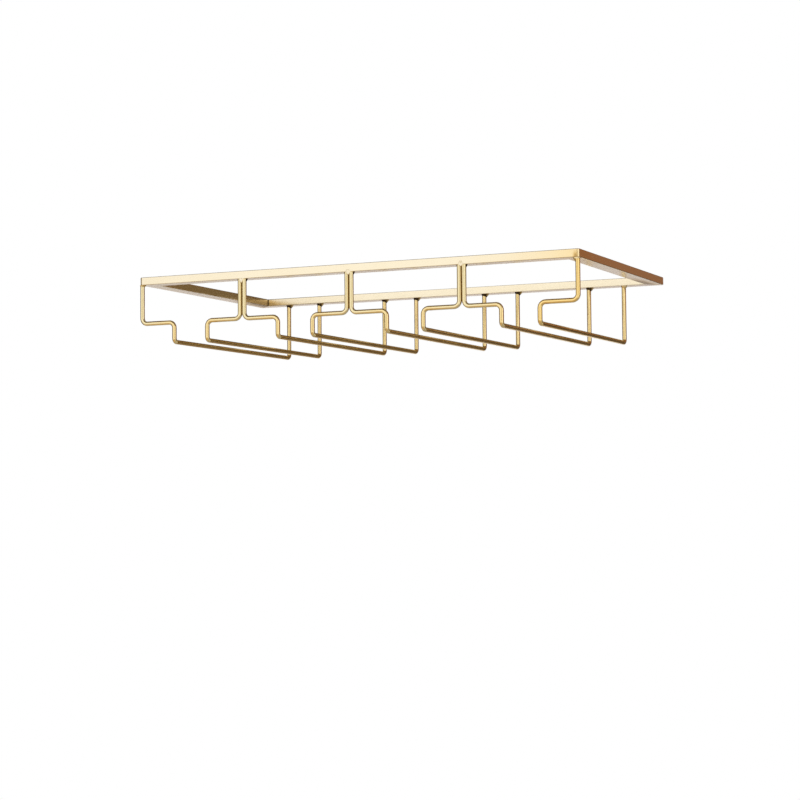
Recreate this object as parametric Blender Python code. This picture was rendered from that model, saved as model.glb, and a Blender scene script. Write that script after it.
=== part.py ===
# Hanging wine glass rack: a welded frame of flat tube that fixes under a cabinet,
# with eight bent wires below it that make four channels for upturned stemmed glasses.
# Metres, +Z up. The origin is the middle of the frame's top plane, and -Y is the open front.

import math

import bmesh
import bpy
from mathutils import Vector

# Frame tube
frame_width = 0.420
frame_depth = 0.230
tube_width = 0.014
tube_height = 0.007
tube_wall = 0.001
edge_radius = 0.001
corner_radius = 0.002

# Wires: a drop is measured from the frame's top plane to the wire's centre
channel_count = 4
wire_diameter = 0.004
rail_spacing = 0.034
shoulder_drop = 0.042
rail_drop = 0.0595
shoulder_bend_radius = 0.005
rail_bend_radius = 0.0035
riser_setback = 0.0018

# Weld beads: a tack is a full fillet on one side of its wire, and a thin ring round the rest
riser_tack_leg = 0.0026
riser_tack_height = 0.0031
riser_tack_bearing = math.radians(12)
end_tack_leg = 0.0026
end_tack_height = 0.0034
end_tack_bearing = math.radians(27)
ring_leg = 0.0006
back_fillet_leg = 0.0018
groove_bead_width = 0.0048
groove_bead_length = 0.0046
groove_bead_proud = 0.0004
groove_bead_tip_share = 0.25
seam_leg = 0.0014

# Fits and cuts
joint_gap = 0.0003
cut_overrun = 0.002

# Facets
edge_facets = 2
corner_facets = 6
bend_facets = 6
wire_bevel_resolution = 4
bead_facets = 20
seam_facets = 24
smooth_below = math.radians(40)

# Finishes: linear colour, roughness
bar_gold = (0.80, 0.62, 0.36, 1.0)
wire_gold = (0.76, 0.55, 0.26, 1.0)
bead_gold = (0.84, 0.70, 0.46, 1.0)
bar_roughness = 0.34
wire_roughness = 0.26
bead_roughness = 0.45

# Places that follow from the sizes
half_width = frame_width / 2
half_depth = frame_depth / 2
underside = -tube_height
joint_level = underside - joint_gap
wire_radius = wire_diameter / 2
pair_spacing = wire_diameter + joint_gap
pairs = channel_count - 1
channel_span = (frame_width - wire_diameter - pairs * pair_spacing) / channel_count
channel_pitch = channel_span + pair_spacing
shoulder_length = (channel_span - rail_spacing) / 2
stem_line = wire_radius - half_depth
riser_line = half_depth - tube_width + riser_setback + wire_radius


# Workshop: collections, parts, cutters and cuts
def new_collection(name):
    collection = bpy.data.collections.new(name)
    bpy.context.scene.collection.children.link(collection)
    return collection


def gold_material(name, colour, roughness):
    material = bpy.data.materials.new(name)
    material.use_nodes = True
    shader = material.node_tree.nodes["Principled BSDF"]
    shader.inputs["Base Color"].default_value = colour
    shader.inputs["Metallic"].default_value = 1.0
    shader.inputs["Roughness"].default_value = roughness
    return material


def add_part(name, data, place, colour, roughness, turn=0.0):
    part = bpy.data.objects.new(name, data)
    rack_parts.objects.link(part)
    part.parent = rack_root
    part.location = place
    part.rotation_euler.z = turn
    part.material_slots[0].link = "OBJECT"
    part.material_slots[0].material = gold_material(name + "_finish", colour, roughness)
    return part


def add_cutter(name, mesh, place, parent):
    cutter = bpy.data.objects.new(name, mesh)
    cutters.objects.link(cutter)
    cutter.parent = parent
    cutter.location = place
    cutter.hide_render = True
    cutter.display_type = "WIRE"
    return cutter


def cut_with(part, cutter):
    cut = part.modifiers.new(cutter.name, "BOOLEAN")
    cut.operation = "DIFFERENCE"
    cut.solver = "EXACT"
    cut.object = cutter


def finished_mesh(bm, name):
    bmesh.ops.recalc_face_normals(bm, faces=bm.faces)
    mesh = bpy.data.meshes.new(name)
    bm.to_mesh(mesh)
    bm.free()
    mesh.shade_smooth()
    mesh.set_sharp_from_angle(angle=smooth_below)
    mesh.materials.append(None)
    return mesh


def cut_away(bm, point, outward):
    """Remove what lies beyond a plane, and close the cut."""
    everything = bm.verts[:] + bm.edges[:] + bm.faces[:]
    bmesh.ops.bisect_plane(bm, geom=everything, plane_co=point, plane_no=outward, clear_outer=True)
    rim = [edge for edge in bm.edges if edge.is_boundary]
    bmesh.ops.holes_fill(bm, edges=rim)


def round_edges(bm, edges, radius, facets):
    bmesh.ops.bevel(
        bm,
        geom=edges,
        offset=radius,
        offset_type="OFFSET",
        segments=facets,
        profile=0.5,
        affect="EDGES",
        material=-1,
    )


def is_upright(edge):
    run = edge.verts[1].co - edge.verts[0].co
    return abs(run.z) > run.xy.length


# Frame: four flat tubes, mitred and welded, all cut from one rounded outline
def frame_outline():
    bm = bmesh.new()
    bmesh.ops.create_cube(bm, size=1.0)
    bmesh.ops.scale(bm, vec=(frame_width, frame_depth, tube_height), verts=bm.verts)
    bmesh.ops.translate(bm, vec=(0, 0, underside / 2), verts=bm.verts)
    round_edges(bm, [edge for edge in bm.edges if is_upright(edge)], corner_radius, corner_facets)
    round_edges(bm, [edge for edge in bm.edges if not is_upright(edge)], edge_radius, edge_facets)
    return bm


def bar_mesh(name, along, inward, half_length, half_across):
    bm = frame_outline()
    inner_face = inward * (tube_width - half_across)
    cut_away(bm, inner_face, inward)
    inner_edges = [edge for edge in bm.edges if lies_in_plane(edge, inner_face, inward)]
    long_edges = sorted(inner_edges, key=lambda edge: edge.calc_length())[-2:]
    round_edges(bm, long_edges, edge_radius, edge_facets)
    for end in (-1, 1):
        corner = along * end * half_length - inward * half_across
        towards_neighbour = (along * end + inward).normalized()
        cut_away(bm, corner - towards_neighbour * (joint_gap / 2), towards_neighbour)
    return finished_mesh(bm, name)


def lies_in_plane(edge, point, normal):
    return all(abs((vert.co - point).dot(normal)) < joint_gap / 2 for vert in edge.verts)


def bore_mesh(name, along, inward, half_length):
    """The hollow of a tube, long enough to run out of both of its mitred ends."""
    bore_length = (half_length + cut_overrun) * 2
    bore_width = tube_width - tube_wall * 2
    bore_height = tube_height - tube_wall * 2
    size = along * bore_length + inward * bore_width + Vector((0, 0, bore_height))
    bm = bmesh.new()
    bmesh.ops.create_cube(bm, size=1.0)
    bmesh.ops.scale(bm, vec=size, verts=bm.verts)
    return finished_mesh(bm, name)


def add_bars(names, along, inward, half_length, half_across):
    """Two opposite bars, which are the same tube turned half round."""
    tube = bar_mesh(names[0], along, inward, half_length, half_across)
    bore = bore_mesh(names[0] + "_bore", along, inward, half_length)
    tube_centre = inward * (tube_width / 2 - half_across) + Vector((0, 0, underside / 2))
    for name, turn in zip(names, (0, math.pi)):
        bar = add_part(name, tube, (0, 0, 0), bar_gold, bar_roughness, turn)
        cut_with(bar, add_cutter(name + "_bore", bore, tube_centre, bar))


# Wires: stem, shoulder, step down, rail and riser, bent from one length
def bent_path(corners, radii):
    path = [corners[0]]
    for before, corner, after, radius in zip(corners, corners[1:], corners[2:], radii):
        arriving = (corner - before).normalized()
        leaving = (after - corner).normalized()
        centre = corner + (leaving - arriving) * radius
        for step in range(bend_facets + 1):
            angle = math.pi / 2 * step / bend_facets
            path.append(centre + (arriving * math.sin(angle) - leaving * math.cos(angle)) * radius)
    path.append(corners[-1])
    return path


def wire_curve(name, side):
    """A wire whose stem ends at its origin, and which steps to the right where side is 1."""
    shoulder_level = -shoulder_drop - joint_level
    rail_level = -rail_drop - joint_level
    rail_place = side * shoulder_length
    rail_length = riser_line - stem_line
    corners = [
        Vector((0, 0, 0)),
        Vector((0, 0, shoulder_level)),
        Vector((rail_place, 0, shoulder_level)),
        Vector((rail_place, 0, rail_level)),
        Vector((rail_place, rail_length, rail_level)),
        Vector((rail_place, rail_length, 0)),
    ]
    step_down = rail_drop - shoulder_drop
    shoulder_bend = min(shoulder_bend_radius, step_down / 2)
    rail_bend = min(rail_bend_radius, step_down / 2)
    path = bent_path(corners, (shoulder_bend, shoulder_bend, rail_bend, rail_bend))
    curve = bpy.data.curves.new(name, "CURVE")
    curve.dimensions = "3D"
    curve.bevel_depth = wire_radius
    curve.bevel_resolution = wire_bevel_resolution
    curve.use_fill_caps = True
    spline = curve.splines.new("POLY")
    spline.points.add(len(path) - 1)
    for point, place in zip(spline.points, path):
        point.co = (*place, 1)
    curve.materials.append(None)
    return curve


# Weld beads: each tapers down from the bar, and its wires pass through it
def bead_mesh(name, half_x, half_y, tip_share, length, middle, lean, trims):
    """A tapered bead below the middle, whose wide end under the bar is moved aside by the lean."""
    bm = bmesh.new()
    bmesh.ops.create_cone(
        bm, cap_ends=True, segments=bead_facets, radius1=tip_share, radius2=1.0, depth=1.0
    )
    wide_end = [vert for vert in bm.verts if vert.co.z > 0]
    bmesh.ops.scale(bm, vec=(half_x, half_y, length), verts=bm.verts)
    bmesh.ops.translate(bm, vec=lean, verts=wide_end)
    bmesh.ops.translate(bm, vec=middle - Vector((0, 0, length / 2)), verts=bm.verts)
    for point, outward in trims:
        cut_away(bm, point, outward)
    return finished_mesh(bm, name)


def wire_bore_mesh():
    """The room that a bead leaves for a wire."""
    bm = bmesh.new()
    bore_radius = wire_radius + joint_gap
    bore_length = (groove_bead_length + cut_overrun) * 2
    bmesh.ops.create_cone(
        bm,
        cap_ends=True,
        segments=bead_facets,
        radius1=bore_radius,
        radius2=bore_radius,
        depth=bore_length,
    )
    return finished_mesh(bm, "wire_bore")


def tack_bead(name, side, leg, height, bearing, trims):
    """A fillet that is full on the wire's right where side is 1, turned to the rear by the bearing."""
    outer = wire_radius + (leg + ring_leg) / 2
    lean = Vector((side * math.cos(bearing), math.sin(bearing), 0)) * ((leg - ring_leg) / 2)
    return bead_mesh(name, outer, outer, wire_radius / outer, height, Vector((0, 0, 0)), lean, trims)


def add_bead(name, mesh, place, bores):
    bead = add_part(name, mesh, place, bead_gold, bead_roughness)
    for bore in bores:
        cut_with(bead, bore)


def add_wires_and_beads():
    steps = {"left": wire_curve("left_wire", 1), "right": wire_curve("right_wire", -1)}
    bore = wire_bore_mesh()
    riser_bead = tack_bead("riser_bead", 1, riser_tack_leg, riser_tack_height, riser_tack_bearing, [])
    stem_places = {}
    stem_bores = {}
    for channel in range(channel_count):
        left_stem = wire_radius - half_width + channel * channel_pitch
        stems = {"left": (left_stem, 1), "right": (left_stem + channel_span, -1)}
        for side, (stem_x, step) in stems.items():
            label = f"{side}_{channel + 1}"
            stem_place = Vector((stem_x, stem_line, joint_level))
            riser_place = Vector((stem_x + step * shoulder_length, riser_line, joint_level))
            add_part("rail_" + label, steps[side], stem_place, wire_gold, wire_roughness)
            stem_bores[side, channel] = add_cutter("stem_bore_" + label, bore, stem_place, rack_root)
            stem_places[side, channel] = stem_place
            riser_bore = add_cutter("riser_bore_" + label, bore, riser_place, rack_root)
            add_bead("riser_weld_" + label, riser_bead, riser_place, [riser_bore])
    add_end_beads(stem_places, stem_bores)
    add_pair_beads(stem_places, stem_bores)


def add_end_beads(stem_places, stem_bores):
    """At each end of the frame the stem is flush with two faces, and its bead is trimmed there."""
    front_trim = (Vector((0, 0, 0)), Vector((0, -1, 0)))
    for side, channel, outward in (("left", 0, -1), ("right", channel_count - 1, 1)):
        side_trim = (Vector((0, 0, 0)), Vector((outward, 0, 0)))
        trims = [front_trim, side_trim]
        bead = tack_bead(
            side + "_end_bead", -outward, end_tack_leg, end_tack_height, end_tack_bearing, trims
        )
        add_bead(side + "_end_weld", bead, stem_places[side, channel], [stem_bores[side, channel]])


def add_pair_beads(stem_places, stem_bores):
    """Two stems side by side have one bead in the groove before them and one behind them."""
    groove_half_y = (wire_radius + groove_bead_proud) / 2
    groove_bead = bead_mesh(
        "groove_bead",
        groove_bead_width / 2,
        groove_half_y,
        groove_bead_tip_share,
        groove_bead_length,
        Vector((0, -groove_half_y, 0)),
        Vector((0, 0, 0)),
        [],
    )
    back_bead = bead_mesh(
        "back_bead",
        pair_spacing / 2 + wire_radius + back_fillet_leg,
        wire_radius + back_fillet_leg,
        groove_bead_tip_share,
        groove_bead_length,
        Vector((0, 0, 0)),
        Vector((0, 0, 0)),
        [(Vector((0, 0, 0)), Vector((0, -1, 0)))],
    )
    for pair in range(pairs):
        bores = [stem_bores["right", pair], stem_bores["left", pair + 1]]
        middle = (stem_places["right", pair] + stem_places["left", pair + 1]) / 2
        add_bead(f"front_weld_{pair + 1}", groove_bead, middle, bores)
        add_bead(f"back_weld_{pair + 1}", back_bead, middle, bores)


# Seams: a bead up the inside of each mitred corner
def add_seams():
    bm = bmesh.new()
    seam_length = tube_height - edge_radius * 2
    bmesh.ops.create_cone(
        bm, cap_ends=True, segments=seam_facets, radius1=seam_leg, radius2=seam_leg, depth=seam_length
    )
    for outward in (Vector((-1, 0, 0)), Vector((0, -1, 0))):
        cut_away(bm, Vector((0, 0, 0)), outward)
    seam = finished_mesh(bm, "seam_bead")
    inner_x = half_width - tube_width - joint_gap
    inner_y = half_depth - tube_width - joint_gap
    corners = {
        "front_left": (-inner_x, -inner_y),
        "front_right": (inner_x, -inner_y),
        "rear_right": (inner_x, inner_y),
        "rear_left": (-inner_x, inner_y),
    }
    for quarter, (name, (x, y)) in enumerate(corners.items()):
        turn = math.pi / 2 * quarter
        add_part(name + "_seam_weld", seam, (x, y, underside / 2), bead_gold, bead_roughness, turn)


for old in list(bpy.data.objects):
    bpy.data.objects.remove(old, do_unlink=True)

rack_parts = new_collection("hanging_wine_glass_rack")
cutters = new_collection("cutters")
rack_root = bpy.data.objects.new("rack_root", None)
rack_parts.objects.link(rack_root)

along_x = Vector((1, 0, 0))
along_y = Vector((0, 1, 0))
add_bars(("front_bar", "rear_bar"), along_x, along_y, half_width, half_depth)
add_bars(("left_bar", "right_bar"), along_y, along_x, half_depth, half_width)
add_wires_and_beads()
add_seams()
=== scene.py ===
import math

import bmesh
import bpy
from mathutils import Matrix, Vector


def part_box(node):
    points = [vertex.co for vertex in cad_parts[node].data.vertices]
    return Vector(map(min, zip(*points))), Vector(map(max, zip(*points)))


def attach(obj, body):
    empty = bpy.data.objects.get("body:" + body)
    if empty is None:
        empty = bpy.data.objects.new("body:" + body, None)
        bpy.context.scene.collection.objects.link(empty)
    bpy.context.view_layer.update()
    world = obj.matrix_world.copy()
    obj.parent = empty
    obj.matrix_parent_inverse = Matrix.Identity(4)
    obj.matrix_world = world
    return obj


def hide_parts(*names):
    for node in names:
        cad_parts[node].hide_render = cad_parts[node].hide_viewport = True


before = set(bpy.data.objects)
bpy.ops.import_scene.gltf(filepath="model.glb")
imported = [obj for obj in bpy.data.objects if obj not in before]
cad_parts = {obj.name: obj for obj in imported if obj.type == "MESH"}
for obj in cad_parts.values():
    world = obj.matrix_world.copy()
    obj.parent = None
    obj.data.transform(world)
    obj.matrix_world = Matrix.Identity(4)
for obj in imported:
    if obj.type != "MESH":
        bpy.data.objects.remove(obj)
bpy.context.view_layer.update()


# Camera. It stands before the rack, to the right and a little below it.
# It looks slightly up, as one looks at a rack under a wall cupboard.
camera_place = (0.7496, -1.6273, -0.2134)
camera_turn = math.radians(24.88)
camera_rise = math.radians(3.25)
camera_roll = math.radians(-0.47)
camera_lens = 88.96
nearest_seen = 0.05
farthest_seen = 60.0

camera_data = bpy.data.cameras.new("camera")
camera_data.lens = camera_lens
camera_data.clip_start = nearest_seen
camera_data.clip_end = farthest_seen
camera = bpy.data.objects.new("camera", camera_data)
bpy.context.scene.collection.objects.link(camera)
looking = Matrix.Rotation(camera_turn, 4, "Z") @ Matrix.Rotation(math.pi / 2 + camera_rise, 4, "X")
camera.matrix_world = Matrix.Translation(camera_place) @ looking @ Matrix.Rotation(camera_roll, 4, "Z")
bpy.context.scene.camera = camera
bpy.context.scene.view_settings.view_transform = "Standard"


# Room light. The backdrop is plain white to the eye and in reflections.
# The light that it throws on the rack and the floor is softer.
backdrop_strength = 1.0
ambient_strength = 0.55
plain_white = (1.0, 1.0, 1.0, 1.0)


def add_math(tree, operation, *values, clamp=False):
    """A maths node. Each of its values is a number or another node's output."""
    node = tree.nodes.new("ShaderNodeMath")
    node.operation = operation
    node.use_clamp = clamp
    for socket, value in zip(node.inputs, values):
        if isinstance(value, (int, float)):
            socket.default_value = value
        else:
            tree.links.new(value, socket)
    return node.outputs[0]


def map_range(tree, value, low, high, at_low, at_high, curve="LINEAR"):
    """What is wanted at the low value and at the high one, and a blend of the two between them."""
    node = tree.nodes.new("ShaderNodeMapRange")
    node.interpolation_type = curve
    node.inputs["From Min"].default_value = low
    node.inputs["From Max"].default_value = high
    node.inputs["To Min"].default_value = at_low
    node.inputs["To Max"].default_value = at_high
    tree.links.new(value, node.inputs["Value"])
    return node.outputs["Result"]


world = bpy.data.worlds.new("white_studio")
world.use_nodes = True
bpy.context.scene.world = world
room = world.node_tree
ray = room.nodes.new("ShaderNodeLightPath")
seen_directly = add_math(room, "MAXIMUM", ray.outputs["Is Camera Ray"], ray.outputs["Is Glossy Ray"])
seen_at_all = add_math(room, "MAXIMUM", seen_directly, ray.outputs["Is Transmission Ray"])
room_strength = map_range(room, seen_at_all, 0.0, 1.0, ambient_strength, backdrop_strength)
backdrop = room.nodes["Background"]
backdrop.inputs["Color"].default_value = plain_white
room.links.new(room_strength, backdrop.inputs["Strength"])


# Floor. A pale disc lies where a room's floor would be below a wall cupboard.
# It fades to white at its rim, so that no edge of it shows.
floor_level = -1.4
floor_radius = 6.0
floor_sides = 96
floor_tone = (0.72, 0.71, 0.69, 1.0)
floor_roughness = 0.8
fade_start = 1.6
fade_end = 4.5


def new_piece(name, bm):
    mesh = bpy.data.meshes.new(name)
    bm.to_mesh(mesh)
    bm.free()
    piece = bpy.data.objects.new(name, mesh)
    bpy.context.scene.collection.objects.link(piece)
    return piece


def plain_material(name):
    material = bpy.data.materials.new(name)
    material.use_nodes = True
    return material, material.node_tree


def add_vector_math(tree, operation, *values):
    """A vector maths node. Each of its values is a vector or another node's output."""
    node = tree.nodes.new("ShaderNodeVectorMath")
    node.operation = operation
    for socket, value in zip(node.inputs, values):
        if isinstance(value, (tuple, Vector)):
            socket.default_value = value
        else:
            tree.links.new(value, socket)
    return node.outputs["Value" if operation == "LENGTH" else "Vector"]


floor_bm = bmesh.new()
bmesh.ops.create_circle(floor_bm, cap_ends=True, segments=floor_sides, radius=floor_radius)
bmesh.ops.translate(floor_bm, vec=(0, 0, floor_level), verts=floor_bm.verts)
floor = new_piece("floor", floor_bm)

floor_material, floor_tree = plain_material("pale_floor")
floor_shader = floor_tree.nodes["Principled BSDF"]
floor_shader.inputs["Base Color"].default_value = floor_tone
floor_shader.inputs["Roughness"].default_value = floor_roughness
floor_place = floor_tree.nodes.new("ShaderNodeTexCoord")
flat_place = add_vector_math(floor_tree, "MULTIPLY", floor_place.outputs["Object"], (1, 1, 0))
from_middle = add_vector_math(floor_tree, "LENGTH", flat_place)
fade = map_range(floor_tree, from_middle, fade_start, fade_end, 0.0, 1.0, curve="SMOOTHSTEP")
rim_white = floor_tree.nodes.new("ShaderNodeEmission")
rim_white.inputs["Color"].default_value = plain_white
blend_to_white = floor_tree.nodes.new("ShaderNodeMixShader")
floor_tree.links.new(fade, blend_to_white.inputs["Fac"])
floor_tree.links.new(floor_shader.outputs["BSDF"], blend_to_white.inputs[1])
floor_tree.links.new(rim_white.outputs["Emission"], blend_to_white.inputs[2])
floor_surface = floor_tree.nodes["Material Output"].inputs["Surface"]
floor_tree.links.new(blend_to_white.outputs["Shader"], floor_surface)
floor.data.materials.append(floor_material)


# Studio cards. Tinted boards stand round the rack, out of the camera's sight, and only reflections see them.
# They give the gold its dark sides, as a studio gives them to polished metal. Each card has its place, the
# point that it faces, its width, its height and the tone that a reflection of it shows.
rack_middle = Vector((0, 0, -0.03))
studio_cards = {
    "red_brown_card": ((0.505, 0.318, 0.36), (0, 0, 0.36), 0.66, 0.74, (0.285, 0.137, 0.074)),
    "olive_card": ((0.08, 0.696, 0.37), (-0.1, 0, 0.37), 0.60, 0.75, (0.16, 0.105, 0.055)),
    "near_olive_card": ((0.07, 0.36, 0.19), (-0.1, 0, 0.19), 0.22, 0.42, (0.17, 0.115, 0.056)),
    "roof_card": ((0, 0.6, 0.76), (0, 0.6, 0), 3.0, 2.7, (0.10, 0.07, 0.045)),
    "back_card": ((-0.9, 1.3, 0.65), (0, 0, 0.65), 1.9, 1.3, (0.11, 0.08, 0.05)),
    "left_card": ((-1.05, 0.05, 0.1), (0, 0.05, 0.1), 1.3, 1.4, (0.12, 0.10, 0.06)),
    "pale_low_card": ((-1.05, 1.5, -0.19), (-1.05, 0, -0.19), 2.2, 0.36, (0.60, 0.55, 0.60)),
    "brown_low_card": ((0.36, 1.5, -0.26), (0.36, 0, -0.26), 0.62, 0.7, (0.115, 0.082, 0.052)),
    "dark_low_card": ((1.01, 1.5, -0.26), (1.01, 0, -0.26), 0.68, 0.7, (0.06, 0.044, 0.027)),
    "low_card": ((-0.6, 1.5, -1.0), (-0.6, 0, -1.0), 3.4, 0.78, (0.24, 0.175, 0.11)),
    "front_low_card": ((-0.3, -0.65, -0.81), rack_middle, 2.4, 0.92, (0.58, 0.44, 0.275)),
    "right_card": ((1.3, 0.62, 0.15), (0, 0.62, 0.15), 1.34, 1.4, (0.10, 0.08, 0.045)),
    "left_front_card": ((-2.05, -1.75, 0.3), (0, 0, 0.3), 1.15, 1.5, (0.80, 0.75, 0.70)),
    "photographer_card": ((1.06, -2.27, 0.30), (0, 0, 0.30), 1.1, 1.2, (0.54, 0.47, 0.335)),
}


def studio_card(name, place, towards, width, height, tone):
    card_bm = bmesh.new()
    bmesh.ops.create_grid(card_bm, x_segments=1, y_segments=1, size=0.5)
    bmesh.ops.scale(card_bm, vec=(width, height, 1), verts=card_bm.verts)
    facing = (Vector(towards) - Vector(place)).to_track_quat("Z", "Y").to_matrix()
    bmesh.ops.rotate(card_bm, cent=(0, 0, 0), matrix=facing, verts=card_bm.verts)
    bmesh.ops.translate(card_bm, vec=place, verts=card_bm.verts)
    card = new_piece(name, card_bm)
    material, tree = plain_material(name + "_paint")
    paint = tree.nodes.new("ShaderNodeEmission")
    paint.inputs["Color"].default_value = (*tone, 1.0)
    tree.links.new(paint.outputs["Emission"], tree.nodes["Material Output"].inputs["Surface"])
    material.cycles.emission_sampling = "NONE"
    card.data.materials.append(material)
    card.visible_camera = False
    card.visible_diffuse = False
    card.visible_shadow = False
    card.visible_transmission = False


for card_name, card_values in studio_cards.items():
    studio_card(card_name, *card_values)


# Lamps. A broad soft lamp stands before the rack on each side, and the right one is smaller and stronger.
# Each lamp has its place, its width, its height and its power in watts.
lamp_tone = (1.0, 0.99, 0.95)
soft_lamps = {
    "left_lamp": ((-1.4, -2.5, 0.4), 2.2, 1.3, 0.6),
    "right_lamp": ((2.3, -1.3, 0.35), 1.0, 1.2, 1.3),
}


def soft_lamp(name, place, width, height, power):
    lamp = bpy.data.lights.new(name, "AREA")
    lamp.shape = "RECTANGLE"
    lamp.size = width
    lamp.size_y = height
    lamp.energy = power
    lamp.color = lamp_tone
    lamp_object = bpy.data.objects.new(name, lamp)
    bpy.context.scene.collection.objects.link(lamp_object)
    turn = (rack_middle - Vector(place)).to_track_quat("-Z", "Y").to_matrix().to_4x4()
    lamp_object.matrix_world = Matrix.Translation(place) @ turn


for lamp_name, lamp_values in soft_lamps.items():
    soft_lamp(lamp_name, *lamp_values)


# Satin gold. The steel is brushed, plated and lacquered: fine grain lies along each bar and wire, the tone
# drifts a little, and a faint orange peel stays in the lacquer. Where a weld heated it, it is browned. A
# painted warm reflection deepens the gold in places, and painted shade browns it in corners and grooves.
drift_scale = 45.0
drift_detail = 2.0
drift_tone_share = 0.2
drift_roughness = 0.08
grain_fine = 5000.0
grain_long = 60.0
grain_detail = 3.0
grain_tone_share = 0.12
grain_height_share = 0.4
peel_scale = 700.0
peel_detail = 1.0
peel_height_share = 0.6
relief_strength = 0.5
relief_height = 0.000002
straw_scorch = 0.35
straw_tint = (0.80, 0.68, 0.46, 1.0)
brown_scorch = 0.7
brown_tint = (0.30, 0.23, 0.13, 1.0)
burnt_tint = (0.05, 0.035, 0.03, 1.0)
scorch_roughness = 0.2


def new_group(name, inputs, outputs):
    """An empty shader group, its inputs to read from and its outputs to fill. Each socket has its kind."""
    group = bpy.data.node_groups.new(name, "ShaderNodeTree")
    for in_out, sockets in (("INPUT", inputs), ("OUTPUT", outputs)):
        for socket, kind in sockets.items():
            group.interface.new_socket(socket, in_out=in_out, socket_type="NodeSocket" + kind)
    given = group.nodes.new("NodeGroupInput").outputs
    result = group.nodes.new("NodeGroupOutput").inputs
    return group, given, result


def noise(tree, scale, detail, coordinate):
    texture = tree.nodes.new("ShaderNodeTexNoise")
    texture.inputs["Scale"].default_value = scale
    texture.inputs["Detail"].default_value = detail
    tree.links.new(coordinate, texture.inputs["Vector"])
    return texture.outputs["Fac"]


def satin_gold_group():
    """Gold that deepens with a painted warm reflection, with drift, grain and orange peel in its tone, gloss
    and height.
    """
    group, given, result = new_group(
        "satin_gold",
        {
            "Coordinate": "Vector",
            "Gold": "Color",
            "Deep Gold": "Color",
            "Depth": "Float",
            "Grain Stretch": "Vector",
            "Roughness": "Float",
        },
        {"Color": "Color", "Roughness": "Float", "Height": "Float"},
    )
    drift = noise(group, drift_scale, drift_detail, given["Coordinate"])
    stretched = add_vector_math(group, "MULTIPLY", given["Coordinate"], given["Grain Stretch"])
    grain = noise(group, 1.0, grain_detail, stretched)
    peel = noise(group, peel_scale, peel_detail, given["Coordinate"])

    # The tone's depth is drift and grain plus the painted warm reflection that comes in from outside.
    drifted = add_math(group, "MULTIPLY_ADD", drift, drift_tone_share, given["Depth"])
    depth = add_math(group, "MULTIPLY_ADD", grain, grain_tone_share, drifted, clamp=True)
    tone = group.nodes.new("ShaderNodeMix")
    tone.data_type = "RGBA"
    group.links.new(depth, tone.inputs["Factor"])
    group.links.new(given["Gold"], tone.inputs["A"])
    group.links.new(given["Deep Gold"], tone.inputs["B"])
    group.links.new(tone.outputs["Result"], result["Color"])

    roughness = add_math(group, "MULTIPLY_ADD", drift, drift_roughness, given["Roughness"])
    group.links.new(roughness, result["Roughness"])
    peel_height = add_math(group, "MULTIPLY", peel, peel_height_share)
    height = add_math(group, "MULTIPLY_ADD", grain, grain_height_share, peel_height)
    group.links.new(height, result["Height"])
    return group


def heat_tint_and_shade_group():
    """Gold runs through straw and brown to nearly black as the scorch and painted shade grow: weld heat
    tint, and painted shade in corners and grooves.
    """
    group, given, result = new_group(
        "heat_tint_and_shade",
        {"Color": "Color", "Roughness": "Float", "Scorch And Shade": "Float"},
        {"Color": "Color", "Roughness": "Float"},
    )
    tint = group.nodes.new("ShaderNodeValToRGB")
    stops = tint.color_ramp.elements
    stops[0].color = plain_white
    stops[1].color = burnt_tint
    stops.new(straw_scorch).color = straw_tint
    stops.new(brown_scorch).color = brown_tint
    group.links.new(given["Scorch And Shade"], tint.inputs["Fac"])
    tinted = group.nodes.new("ShaderNodeMix")
    tinted.data_type = "RGBA"
    tinted.blend_type = "MULTIPLY"
    tinted.inputs["Factor"].default_value = 1.0
    group.links.new(given["Color"], tinted.inputs["A"])
    group.links.new(tint.outputs["Color"], tinted.inputs["B"])
    group.links.new(tinted.outputs["Result"], result["Color"])
    roughness = add_math(group, "MULTIPLY_ADD", given["Scorch And Shade"], scorch_roughness, given["Roughness"])
    group.links.new(roughness, result["Roughness"])
    return group


satin_gold = satin_gold_group()
heat_tint_and_shade = heat_tint_and_shade_group()


def gold_finish(name, gold, deep_gold, roughness, grain_stretch, coordinate="Object"):
    material, tree = plain_material(name)
    shader = tree.nodes["Principled BSDF"]
    shader.inputs["Metallic"].default_value = 1.0
    place = tree.nodes.new("ShaderNodeTexCoord")
    satin = tree.nodes.new("ShaderNodeGroup")
    satin.name = "satin"
    satin.node_tree = satin_gold
    satin.inputs["Gold"].default_value = gold
    satin.inputs["Deep Gold"].default_value = deep_gold
    satin.inputs["Grain Stretch"].default_value = grain_stretch
    satin.inputs["Roughness"].default_value = roughness
    tree.links.new(place.outputs[coordinate], satin.inputs["Coordinate"])
    relief = tree.nodes.new("ShaderNodeBump")
    relief.inputs["Strength"].default_value = relief_strength
    relief.inputs["Distance"].default_value = relief_height
    tree.links.new(satin.outputs["Height"], relief.inputs["Height"])
    tree.links.new(satin.outputs["Color"], shader.inputs["Base Color"])
    tree.links.new(satin.outputs["Roughness"], shader.inputs["Roughness"])
    tree.links.new(relief.outputs["Normal"], shader.inputs["Normal"])
    return material


def brown(material, scorch_and_shade):
    """Where the scorch and painted shade are high, the gold is browned and dulled."""
    tree = material.node_tree
    shader = tree.nodes["Principled BSDF"]
    tint = tree.nodes.new("ShaderNodeGroup")
    tint.node_tree = heat_tint_and_shade
    tree.links.new(scorch_and_shade, tint.inputs["Scorch And Shade"])
    for given, socket in (("Color", shader.inputs["Base Color"]), ("Roughness", shader.inputs["Roughness"])):
        source = socket.links[0].from_socket
        tree.links.new(source, tint.inputs[given])
        tree.links.new(tint.outputs[given], socket)
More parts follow.
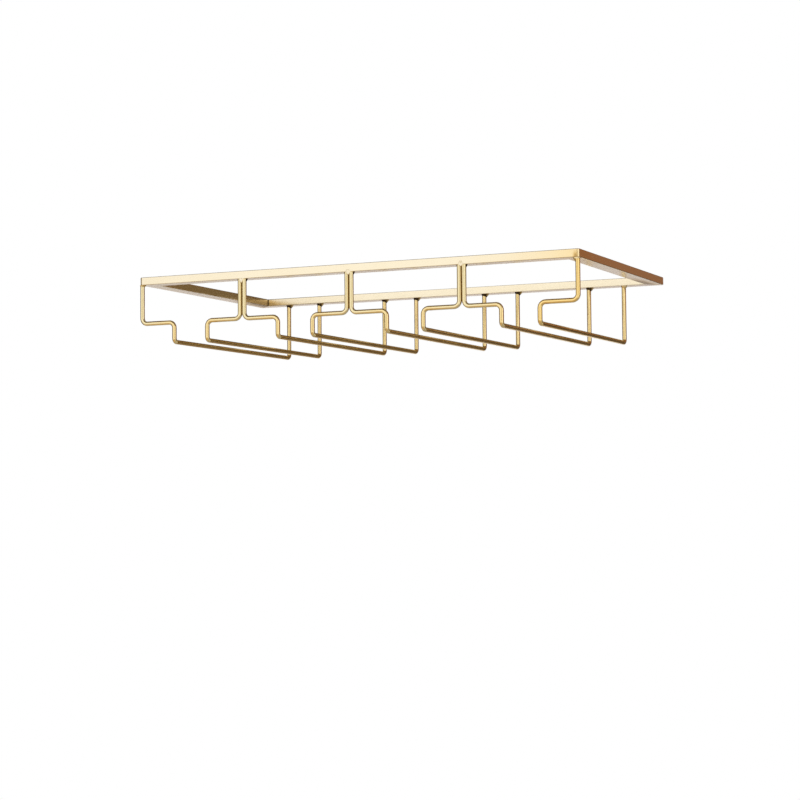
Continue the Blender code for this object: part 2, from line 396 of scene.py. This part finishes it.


# Frame bars. Four lengths of flat rectangular steel tube, mitred, welded, ground flush at the corners and
# plated as one frame. A painted warm reflection makes the gold deepest and most orange at the right front
# corner. The side bars carry painted shade near their inner rear corners, and the weld's heat left the front
# bar brown at its right end. The underside has had less polish.
frame_slot = "frame_gold"
half_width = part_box("right_bar")[1].x
half_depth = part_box("rear_bar")[1].y
front_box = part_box("front_bar")
tube_width = front_box[1].y - front_box[0].y
tube_height = front_box[1].z - front_box[0].z
underside = front_box[0].z
edge_radius = 0.0006
corner_radius = 0.0028
edge_facets = 6
corner_facets = 10
sharp_above = math.radians(50)
flat_face_weight = 100
plane_tolerance = 0.00006
pale_gold = (0.94, 0.85, 0.655, 1.0)
deep_pale_gold = (0.93, 0.74, 0.42, 1.0)
bar_roughness = 0.15
underside_roughness = 0.24
polish_starts_above = 0.00012
warm_reflection_corner = (half_width, -half_depth, underside)
warm_reflection_reach = 0.12
fade_power = 2.0
corner_shade = 0.55
corner_shade_from = 0.03
corner_shade_to = 0.085
corner_shade_stretch = (5, 1, 9)
end_weld_inset = 0.0034
end_weld_rise = 0.001
end_weld_place = (half_width - end_weld_inset, -half_depth, underside + end_weld_rise)
end_weld_heat = 0.5
end_weld_heat_from = 0.0008
end_weld_heat_to = 0.0048
end_weld_heat_stretch = (1.3, 1, 0.65)


def shade(piece):
    """Round stretches shade smoothly, and the flat faces beside them stay flat."""
    piece.data.shade_smooth()
    piece.data.set_sharp_from_angle(angle=sharp_above)
    flat_faces = piece.modifiers.new("flat_faces", "WEIGHTED_NORMAL")
    flat_faces.keep_sharp = True
    flat_faces.weight = flat_face_weight


def finish_piece(piece, material, slot, *nodes_replaced):
    piece.data.materials.append(material)
    shade(piece)
    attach(piece, "root")
    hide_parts(*nodes_replaced)


def cut_away(bm, point, outward):
    """Remove what lies beyond a plane, and close the cut."""
    everything = bm.verts[:] + bm.edges[:] + bm.faces[:]
    bmesh.ops.bisect_plane(bm, geom=everything, plane_co=point, plane_no=outward, clear_outer=True)
    bmesh.ops.holes_fill(bm, edges=[edge for edge in bm.edges if edge.is_boundary])


def round_edges(bm, edges, radius, facets):
    bmesh.ops.bevel(
        bm,
        geom=edges,
        offset=radius,
        offset_type="OFFSET",
        segments=facets,
        profile=0.5,
        affect="EDGES",
        material=-1,
    )


def is_upright(edge):
    run = edge.verts[1].co - edge.verts[0].co
    return abs(run.z) > run.xy.length


def frame_blank():
    """A block of the whole frame's size, with its corners and edges rounded."""
    bm = bmesh.new()
    bmesh.ops.create_cube(bm, size=1.0)
    bmesh.ops.scale(bm, vec=(half_width * 2, half_depth * 2, tube_height), verts=bm.verts)
    bmesh.ops.translate(bm, vec=(0, 0, underside + tube_height / 2), verts=bm.verts)
    round_edges(bm, [edge for edge in bm.edges if is_upright(edge)], corner_radius, corner_facets)
    round_edges(bm, [edge for edge in bm.edges if not is_upright(edge)], edge_radius, edge_facets)
    return bm


def distance_from(material, point, stretch=(1, 1, 1)):
    """How far the piece's surface lies from a point, in metres, with each axis stretched as asked."""
    tree = material.node_tree
    place = tree.nodes.new("ShaderNodeTexCoord")
    offset = add_vector_math(tree, "SUBTRACT", place.outputs["Object"], point)
    stretched = add_vector_math(tree, "MULTIPLY", offset, stretch)
    return add_vector_math(tree, "LENGTH", stretched)


def fade_out(material, distance, near, far, strength=1.0):
    """The strength up to the near distance, falling to nothing at the far one."""
    tree = material.node_tree
    fading = map_range(tree, distance, near, far, 1.0, 0.0)
    curved = add_math(tree, "POWER", fading, fade_power)
    return add_math(tree, "MULTIPLY", curved, strength)


def duller_below(material):
    """The roughness of a bar, whose underside has had less polish than its sides."""
    tree = material.node_tree
    place = tree.nodes.new("ShaderNodeTexCoord")
    split = tree.nodes.new("ShaderNodeSeparateXYZ")
    tree.links.new(place.outputs["Object"], split.inputs[0])
    polish_starts = underside + polish_starts_above
    level = split.outputs["Z"]
    return map_range(tree, level, underside, polish_starts, underside_roughness, bar_roughness)


def make_bar(name, along, inward, half_length, half_across, grain_stretch):
    """One side of the frame's blank, cut off at its inner face and at both mitres."""
    bm = frame_blank()
    inner_face = inward * (tube_width - half_across)
    cut_away(bm, inner_face, inward)
    for end in (-1, 1):
        corner = along * end * half_length - inward * half_across
        cut_away(bm, corner, (along * end + inward).normalized())
    on_inner_face = [
        edge
        for edge in bm.edges
        if all(abs((vert.co - inner_face).dot(inward)) < plane_tolerance for vert in edge.verts)
    ]
    round_edges(bm, [edge for edge in on_inner_face if not is_upright(edge)], edge_radius, edge_facets)
    bmesh.ops.recalc_face_normals(bm, faces=bm.faces)
    bar = new_piece(name, bm)

    finish = gold_finish(name + "_satin", pale_gold, deep_pale_gold, bar_roughness, grain_stretch)
    satin = finish.node_tree.nodes["satin"]
    # Painted warm reflection, strongest at the right front corner.
    warmer = fade_out(finish, distance_from(finish, warm_reflection_corner), 0, warm_reflection_reach)
    finish.node_tree.links.new(warmer, satin.inputs["Depth"])
    finish.node_tree.links.new(duller_below(finish), satin.inputs["Roughness"])
    # Side bars: painted shade near the inner rear corner. Front bar: browned by the end weld's heat.
    if along == back:
        rear_inner_corner = inner_face + along * (half_length - tube_width) + Vector((0, 0, underside))
        from_inner_corner = distance_from(finish, rear_inner_corner, corner_shade_stretch)
        brown(finish, fade_out(finish, from_inner_corner, corner_shade_from, corner_shade_to, corner_shade))
    elif inward == back:
        from_weld = distance_from(finish, end_weld_place, end_weld_heat_stretch)
        brown(finish, fade_out(finish, from_weld, end_weld_heat_from, end_weld_heat_to, end_weld_heat))
    finish_piece(bar, finish, frame_slot, name.replace("tube_", ""))


across = Vector((1, 0, 0))
back = Vector((0, 1, 0))
grain_across = (grain_long, grain_fine, grain_fine)
grain_back = (grain_fine, grain_long, grain_fine)
make_bar("tube_front_bar", across, back, half_width, half_depth, grain_across)
make_bar("tube_rear_bar", across, -back, half_width, half_depth, grain_across)
make_bar("tube_left_bar", back, across, half_depth, half_width, grain_back)
make_bar("tube_right_bar", back, -across, half_depth, half_width, grain_back)


# Glass rails. Each is one length of round steel wire, bent cold on a former: a stem down from the front bar,
# a shoulder, a short leg, a rail to the rear and a riser up to the rear bar. A painted warm reflection is
# faint on the stems and stronger from the legs on. Where two stems touch, the sides that face each other
# carry painted shade.
wire_slot = "wire_gold"
wire_radius = 0.002
shoulder_drop = 0.042
shoulder_bend = 0.005
rail_bend = 0.0035
wire_sides = 32
bend_rings = 12
channels = 4
end_rails = ("rail_left_1", f"rail_right_{channels}")
wire_gold = (0.915, 0.805, 0.505, 1.0)
deep_wire_gold = (0.975, 0.71, 0.285, 1.0)
wire_roughness = 0.14
wire_grain = (grain_fine, grain_long, 1)
warmth_share = 0.46
end_wire_warmth_share = 1.0
warmth_starts_at = 0.035
warmth_full_at = 0.065
end_wire_warmth_fade = 0.13
groove_shade = 0.55
groove_facing_share = 0.6
fully_facing_share = 0.85


def clamped(value):
    return min(1, max(0, value))


def stem_top(node):
    """Where a rail's stem meets the front bar."""
    low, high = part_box(node)
    stem_x = low.x + wire_radius if "left" in node else high.x - wire_radius
    return Vector((stem_x, low.y + wire_radius, underside))


def straight_wire(stations):
    """A straight wire that hangs from the origin, with a ring of points at each station along it."""
    bm = bmesh.new()
    bm.verts.layers.float.new("reflected_warmth")
    bm.verts.layers.float.new("scorch_and_shade")
    first = bmesh.ops.create_circle(bm, cap_ends=False, segments=wire_sides, radius=wire_radius)
    rings = [(0.0, first["verts"])]
    ring_edges = bm.edges[:]
    for before, after in zip(stations, stations[1:]):
        grown = bmesh.ops.extrude_edge_only(bm, edges=ring_edges)["geom"]
        ring = [item for item in grown if isinstance(item, bmesh.types.BMVert)]
        ring_edges = [edge for edge in grown if isinstance(edge, bmesh.types.BMEdge) and edge.is_boundary]
        bmesh.ops.translate(bm, vec=(0, 0, before - after), verts=ring)
        rings.append((after, ring))
    return bm, rings


def wrap_coordinates(bm):
    """The wire's own map: metres round it and metres along it."""
    wrap = bm.loops.layers.uv.new("wrap")
    for face in bm.faces:
        middle = face.calc_center_median()
        facing = math.atan2(middle.y, middle.x)
        for loop in face.loops:
            co = loop.vert.co
            turn = facing + math.remainder(math.atan2(co.y, co.x) - facing, math.tau)
            loop[wrap].uv = (turn * wire_radius, -co.z)


def usual_warmth(place):
    warming = (place - warmth_starts_at) / (warmth_full_at - warmth_starts_at)
    return warmth_share * clamped(warming)


def end_wire_warmth(place):
    """The wire at the frame's right end carries the strongest painted warm reflection in front, and is like
    the others from its rail on.
    """
    fading = (place - warmth_full_at) / end_wire_warmth_fade
    return max(usual_warmth(place), end_wire_warmth_share * min(1, 1 - fading))


def paint_reflected_warmth(bm, rings, depth_at):
    """Each ring of points is told how much painted warm reflection it carries, on a scale of 0 to 1."""
    reflected_warmth = bm.verts.layers.float["reflected_warmth"]
    for place, ring in rings:
        for vert in ring:
            vert[reflected_warmth] = depth_at(place)


def shade_groove(bm, rings, partner_side, parting):
    """The side of a stem that faces its partner gets brown painted shade, down to where the two bend apart.
    """
    scorch_and_shade = bm.verts.layers.float["scorch_and_shade"]
    for place, ring in rings:
        if place > parting:
            continue
        for vert in ring:
            facing = vert.co.x * partner_side / wire_radius
            shaded = (facing - groove_facing_share) / (fully_facing_share - groove_facing_share)
            vert[scorch_and_shade] = groove_shade * clamped(shaded)


def bend(bm, rings, start, radius, axis):
    """What lies past the start is carried round the former by a quarter turn, and the rest goes with it."""
    arc = radius * math.pi / 2
    along = Vector((0, 0, -1))
    centre = along * start + axis.cross(along) * radius
    for place, ring in rings:
        taken_up = min(place - start, arc)
        if taken_up <= 0:
            continue
        bmesh.ops.translate(bm, vec=-along * taken_up, verts=ring)
        turn = Matrix.Rotation(taken_up / radius, 3, axis)
        bmesh.ops.rotate(bm, cent=centre, matrix=turn, verts=ring)


def make_wire(node, side, material):
    """One rail's wire. Side is 1 where it steps to the right of its stem, and -1 to the left."""
    low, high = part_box(node)
    rail_z = low.z + wire_radius
    straights = (
        shoulder_drop + underside,
        high.x - low.x - wire_radius * 2,
        -shoulder_drop - rail_z,
        high.y - low.y - wire_radius * 2,
        underside - rail_z,
    )
    radii = (shoulder_bend, shoulder_bend, rail_bend, rail_bend)
    axes = (Vector((0, -side, 0)), Vector((0, side, 0)), Vector((1, 0, 0)), Vector((1, 0, 0)))
    bends = []
    stations = [0.0]
    place = 0.0
    cut_before = 0.0
    for straight, radius, axis in zip(straights, radii, axes):
        place += straight - radius - cut_before
        cut_before = radius
        bends.append((place, radius, axis))
        arc = radius * math.pi / 2
        stations += [place + arc * ring / bend_rings for ring in range(bend_rings + 1)]
        place += arc
    stations.append(place + straights[-1] - cut_before)

    bm, rings = straight_wire(stations)
    wrap_coordinates(bm)
    # The points carry a painted warm reflection: faint on the stems, stronger from the legs on, strongest on
    # the front of the right end wire.
    paint_reflected_warmth(bm, rings, end_wire_warmth if node == end_rails[1] else usual_warmth)
    # Painted shade on the sides of paired stems that face each other.
    if node not in end_rails:
        parting = bends[0][0] + bends[0][1] / 2
        shade_groove(bm, rings, -side, parting)
    for start, radius, axis in reversed(bends):
        bend(bm, rings, start, radius, axis)
    bmesh.ops.holes_fill(bm, edges=[edge for edge in bm.edges if edge.is_boundary])
    bmesh.ops.recalc_face_normals(bm, faces=bm.faces)
    bmesh.ops.translate(bm, vec=stem_top(node), verts=bm.verts)
    wire = new_piece("wire_" + node, bm)
    finish_piece(wire, material, wire_slot, node)


def told_by_points(material, name):
    """A value that the piece's own points carry."""
    told = material.node_tree.nodes.new("ShaderNodeAttribute")
    told.attribute_name = name
    return told.outputs["Fac"]


wire_finish = gold_finish("wire_satin", wire_gold, deep_wire_gold, wire_roughness, wire_grain, "UV")
wire_warmth = told_by_points(wire_finish, "reflected_warmth")
wire_finish.node_tree.links.new(wire_warmth, wire_finish.node_tree.nodes["satin"].inputs["Depth"])
brown(wire_finish, told_by_points(wire_finish, "scorch_and_shade"))
for channel in range(1, channels + 1):
    make_wire(f"rail_left_{channel}", 1, wire_finish)
    make_wire(f"rail_right_{channel}", -1, wire_finish)


# Riser welds. Each riser is tacked to the rear bar from its right-hand side: the bead is a full fillet
# there, and only a thin ring round the rest. It is brown, darkest close to the wire and where the bead is
# thin. The last riser, at the frame's right end, has a small and nearly clean one.
weld_slot = "weld_gold"
weld_gold = (0.90, 0.76, 0.47, 1.0)
deep_weld_gold = (0.82, 0.64, 0.34, 1.0)
weld_roughness = 0.27
weld_grain = (grain_fine, grain_fine, grain_fine)
collar_sides = 64
fillet_rings = 14
core_share = 0.6
swell_share = 0.06
lobe_power = 3
crown_power = 4
scorched_to = 0.0006
cleared_from = 0.0013
ripple_spacing = 0.0008
ripple_height = 0.00002
riser_tack_leg = 0.0026
riser_tack_height = 0.0031
riser_tack_scorch = 1.0
last_tack_leg = 0.0012
last_tack_height = 0.0022
last_tack_scorch = 0.2
riser_crown_share = 0.12
riser_ring_leg = 0.0006
riser_ring_height = 0.0018
riser_tack_bearing = math.radians(12)


def weld_metal(name, gold, deep_gold):
    finish = gold_finish(name, gold, deep_gold, weld_roughness, weld_grain)
    brown(finish, told_by_points(finish, "scorch_and_shade"))
    return finish


weld_finish = weld_metal("weld_satin", weld_gold, deep_weld_gold)
pale_weld_finish = weld_metal("pale_weld_satin", pale_gold, deep_pale_gold)


def ripple(bm, phase_of):
    """Raise a weld's frozen ripples. A point's phase is how far along the weld it lies, in metres."""
    bm.normal_update()
    for vert in bm.verts:
        crest = abs(math.sin(math.pi * phase_of(vert.co) / ripple_spacing))
        vert.co += vert.normal * ripple_height * crest


def between(low, high, share):
    return low + (high - low) * share


def fillet_collar(leg, height, ring_leg, ring_height, bearing, scorch_depth, crown_share):
    """A fillet round a wire that hangs at the origin: full on the bearing's side, a thin ring elsewhere.

    It is darkened close to the wire, and farther out by the crown's share of that.
    """
    bm = bmesh.new()
    section = []
    for step in range(fillet_rings + 1):
        share = step / fillet_rings
        swell = math.sin(math.pi * share) * swell_share
        out = wire_radius + (1 - share + swell) * leg
        section.append(bm.verts.new((out, 0, -(share + swell) * height)))
    section.append(bm.verts.new((wire_radius * core_share, 0, -height)))
    section.append(bm.verts.new((wire_radius * core_share, 0, 0)))
    loop = [bm.edges.new(pair) for pair in zip(section, section[1:] + section[:1])]
    bmesh.ops.spin(
        bm,
        geom=section + loop,
        axis=(0, 0, 1),
        cent=(0, 0, 0),
        angle=math.tau,
        steps=collar_sides,
        use_merge=True,
    )
    scorch_and_shade = bm.verts.layers.float.new("scorch_and_shade")
    for vert in bm.verts:
        turn = math.atan2(vert.co.y, vert.co.x) - bearing
        lobe = ((1 + math.cos(turn)) / 2) ** lobe_power
        reach = vert.co.xy.length
        out = (reach - wire_radius) * between(ring_leg / leg, 1, lobe)
        cleared = clamped((out - scorched_to) / (cleared_from - scorched_to))
        vert[scorch_and_shade] = scorch_depth * between(1, crown_share, cleared * lobe**crown_power)
        vert.co.z *= between(ring_height / height, 1, lobe)
        if reach > wire_radius:
            vert.co.xy *= (wire_radius + out) / reach
    bmesh.ops.recalc_face_normals(bm, faces=bm.faces)
    ripple(bm, lambda co: (math.atan2(co.y, co.x) - bearing) * (wire_radius + leg))
    return bm


def finish_bead(name, bm, node_replaced, finish=weld_finish):
    bead = new_piece(name, bm)
    finish_piece(bead, finish, weld_slot, node_replaced)


def riser_top(node):
    """Where a rail's riser meets the rear bar."""
    low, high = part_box(node)
    riser_x = high.x - wire_radius if "left" in node else low.x + wire_radius
    return Vector((riser_x, high.y - wire_radius, underside))


for channel in range(1, channels + 1):
    for side in ("left", "right"):
        is_last = f"rail_{side}_{channel}" == end_rails[1]
        tack_bm = fillet_collar(
            last_tack_leg if is_last else riser_tack_leg,
            last_tack_height if is_last else riser_tack_height,
            riser_ring_leg,
            riser_ring_height,
            riser_tack_bearing,
            last_tack_scorch if is_last else riser_tack_scorch,
            riser_crown_share,
        )
        bmesh.ops.translate(tack_bm, vec=riser_top(f"rail_{side}_{channel}"), verts=tack_bm.verts)
        finish_bead(f"bead_riser_{side}_{channel}", tack_bm, f"riser_weld_{side}_{channel}")


# End stem welds. The outermost stems stand flush with the frame's front and end, so their fillets lie only
# on the inner side, and are cut off flush with both faces. The left one is small and browned, most of all on
# its crown, and the right one is large and bright.
left_fillet_size = (0.0012, 0.0018)
left_scorch_depth = 0.4
left_crown_share = 1.8
right_fillet_size = (0.0030, 0.0038)
right_scorch_depth = 0.1
right_crown_share = 1.0
end_ring_size = (0.0004, 0.0012)
end_tack_rearward_share = 0.5

for side, channel, inwards, fillet_size, scorch_depth, crown_share in (
    ("left", 1, 1, left_fillet_size, left_scorch_depth, left_crown_share),
    ("right", channels, -1, right_fillet_size, right_scorch_depth, right_crown_share),
):
    bearing = math.atan2(end_tack_rearward_share, inwards)
    end_bm = fillet_collar(*fillet_size, *end_ring_size, bearing, scorch_depth, crown_share)
    bmesh.ops.translate(end_bm, vec=stem_top(f"rail_{side}_{channel}"), verts=end_bm.verts)
    cut_away(end_bm, Vector((0, -half_depth, 0)), Vector((0, -1, 0)))
    cut_away(end_bm, Vector((-inwards * half_width, 0, 0)), Vector((-inwards, 0, 0)))
    finish_bead(f"bead_{side}_end", end_bm, f"{side}_end_weld")


# Hanger welds. Two stems side by side hang from one joint. A drop of weld metal fills the groove between
# them in front and laps up onto the bar's face, with a small pit in it. Its tail runs down deep in the
# groove, and a fillet goes round the back.
drop_sides = 64
drop_rings = 40
drop_half_width = 0.0029
drop_length = 0.0047
drop_depth = 0.0026
drop_proud = 0.00012
drop_tail_share = 0.15
drop_tip_setback = 0.00015
drop_tail_setback = 0.0012
drop_setback_slope = 4
drop_end_power = 6
drop_body_shares = (0.7, 0.5, 0.3)
drop_merge_distance = 0.000001
square_power = 4
lap_heights = (0.0008, 0.0022, 0.0034)
pit_level_share = 0.6
pit_radius = 0.0009
pit_depth = 0.0003
pit_scorches = (0.35, 0.2, 1.4)
tail_shade = 0.9
tail_shaded_from_share = 0.95
tail_shade_slope = 4
rim_shade = 0.3
rim_power = 4
back_fillet_size = (0.0012, 0.0025)
back_ring_size = (0.0006, 0.0018)
back_scorch_depth = 1.0
back_crown_share = 0.9
back_bearing = math.radians(55)
middle_tolerance = 0.00002


def squared(x, y):
    """A point of a circle, pushed out so that the circle becomes a square with round corners."""
    push = (x**square_power + y**square_power) ** (-1 / square_power)
    return x * push, y * push


def hanger_drop(lap, body_share, pit_scorch):
    """A flat-faced drop: round at the top, widest at the bar's lower edge, and tapering to its tail."""
    bm = bmesh.new()
    bmesh.ops.create_cone(bm, cap_ends=True, segments=drop_sides, radius1=1.0, radius2=1.0, depth=1.0)
    bmesh.ops.subdivide_edges(bm, edges=[edge for edge in bm.edges if is_upright(edge)], cuts=drop_rings)
    for vert in bm.verts:
        height = between(-drop_length, lap, vert.co.z + 0.5)
        if height > 0:
            width = math.sqrt(max(0, 1 - (height / lap) ** 2))
            setback = 0
        else:
            fall = -height / drop_length
            tapered = min(1, fall / body_share)
            rounded = math.sqrt(max(0, 1 - fall**drop_end_power))
            width = between(1, drop_tail_share, tapered) * rounded
            setback = between(0, drop_tip_setback, tapered)
            if fall > body_share:
                sunk = min(1, (fall / body_share - 1) * drop_setback_slope)
                setback = between(drop_tip_setback, drop_tail_setback, sunk)
        side_share, depth_share = squared(vert.co.x, vert.co.y)
        side = side_share * width * drop_half_width
        depth = (1 + depth_share) / 2 * (drop_depth - setback)
        vert.co = (side, setback - drop_proud + depth, height)
    bmesh.ops.remove_doubles(bm, verts=bm.verts, dist=drop_merge_distance)
    bmesh.ops.recalc_face_normals(bm, faces=bm.faces)
    ripple(bm, lambda co: co.z + co.x**2 / drop_half_width)
    scorch_and_shade = bm.verts.layers.float.new("scorch_and_shade")
    pit_level = lap * pit_level_share
    for vert in bm.verts:
        from_pit = math.hypot(vert.co.x, vert.co.z - pit_level)
        hollow = max(0, 1 - from_pit / pit_radius) if vert.co.y < 0 else 0
        vert.co.y += hollow * pit_depth
        # Painted shade: the tail deep in the groove and the drop's side edges are darkened.
        past_body = -vert.co.z / drop_length / body_share - tail_shaded_from_share
        tail = clamped(past_body * tail_shade_slope)
        rim = (abs(vert.co.x) / drop_half_width) ** rim_power
        vert[scorch_and_shade] = min(1, hollow * pit_scorch + tail * tail_shade + rim * rim_shade)
    return bm


def pair_collar(spacing):
    """The fillet collar of one wire, drawn apart to go round two, and cut off in front."""
    bm = fillet_collar(
        *back_fillet_size, *back_ring_size, back_bearing, back_scorch_depth, back_crown_share
    )
    for vert in bm.verts:
        if abs(vert.co.x) > middle_tolerance:
            vert.co.x += math.copysign(spacing / 2, vert.co.x)
    cut_away(bm, Vector((0, 0, 0)), Vector((0, -1, 0)))
    return bm


hangers = zip(lap_heights, drop_body_shares, pit_scorches)
for pair, (lap, body_share, pit_scorch) in enumerate(hangers, start=1):
    left_stem = stem_top(f"rail_right_{pair}")
    right_stem = stem_top(f"rail_left_{pair + 1}")
    pair_middle = (left_stem + right_stem) / 2
    drop_bm = hanger_drop(lap, body_share, pit_scorch)
    bmesh.ops.translate(drop_bm, vec=(pair_middle.x, -half_depth, underside), verts=drop_bm.verts)
    finish_bead(f"bead_hanger_front_{pair}", drop_bm, f"front_weld_{pair}", pale_weld_finish)
    collar_bm = pair_collar(right_stem.x - left_stem.x)
    bmesh.ops.translate(collar_bm, vec=pair_middle, verts=collar_bm.verts)
    finish_bead(f"bead_hanger_back_{pair}", collar_bm, f"back_weld_{pair}")


# Corner seams. Weld metal is run up the inside of each mitred corner of the frame.
# Outside, the mitre is ground flush.
seam_leg = 0.0007
seam_sides = 96
seam_rings = 48
seam_hollow_share = 0.4
seam_end_round = 0.0005
seam_end_share = 0.7
seam_shade = 0.75
seam_crease_shade = 0.95


def seam_bead():
    """A hollow-faced fillet that stands in the corner between +X and +Y, drawn upwards in ripples."""
    bm = bmesh.new()
    length = tube_height - edge_radius * 2
    bmesh.ops.create_cone(
        bm, cap_ends=True, segments=seam_sides, radius1=seam_leg, radius2=seam_leg, depth=length
    )
    for outward in (Vector((-1, 0, 0)), Vector((0, -1, 0))):
        cut_away(bm, Vector((0, 0, 0)), outward)
    bmesh.ops.subdivide_edges(bm, edges=[edge for edge in bm.edges if is_upright(edge)], cuts=seam_rings)
    scorch_and_shade = bm.verts.layers.float.new("scorch_and_shade")
    for vert in bm.verts:
        turn = math.atan2(vert.co.y, vert.co.x)
        hollow = 1 - seam_hollow_share * math.sin(turn * 2)
        to_end = min(1, (length / 2 - abs(vert.co.z)) / seam_end_round)
        rounding = between(seam_end_share, 1, math.sqrt(max(0, 1 - (1 - to_end) ** 2)))
        vert.co.xy *= hollow * rounding
        # Painted corner shade: the weld bead is dark, darkest in the creases where it meets the bar faces.
        vert[scorch_and_shade] = between(seam_shade, seam_crease_shade, abs(math.cos(turn * 2)))
    bmesh.ops.recalc_face_normals(bm, faces=bm.faces)
    ripple(bm, lambda co: co.z + co.xy.length / 2)
    return bm


for quarter, name in enumerate(("front_left", "front_right", "rear_right", "rear_left")):
    seam_bm = seam_bead()
    corner_turn = Matrix.Rotation(math.pi / 2 * quarter, 3, "Z")
    bmesh.ops.rotate(seam_bm, cent=(0, 0, 0), matrix=corner_turn, verts=seam_bm.verts)
    corner = Vector((half_width - tube_width, half_depth - tube_width, 0))
    away = corner_turn @ Vector((-1, -1, 0))
    seam_place = Vector((corner.x * away.x, corner.y * away.y, underside + tube_height / 2))
    bmesh.ops.translate(seam_bm, vec=seam_place, verts=seam_bm.verts)
    finish_bead(f"bead_seam_{name}", seam_bm, f"{name}_seam_weld")
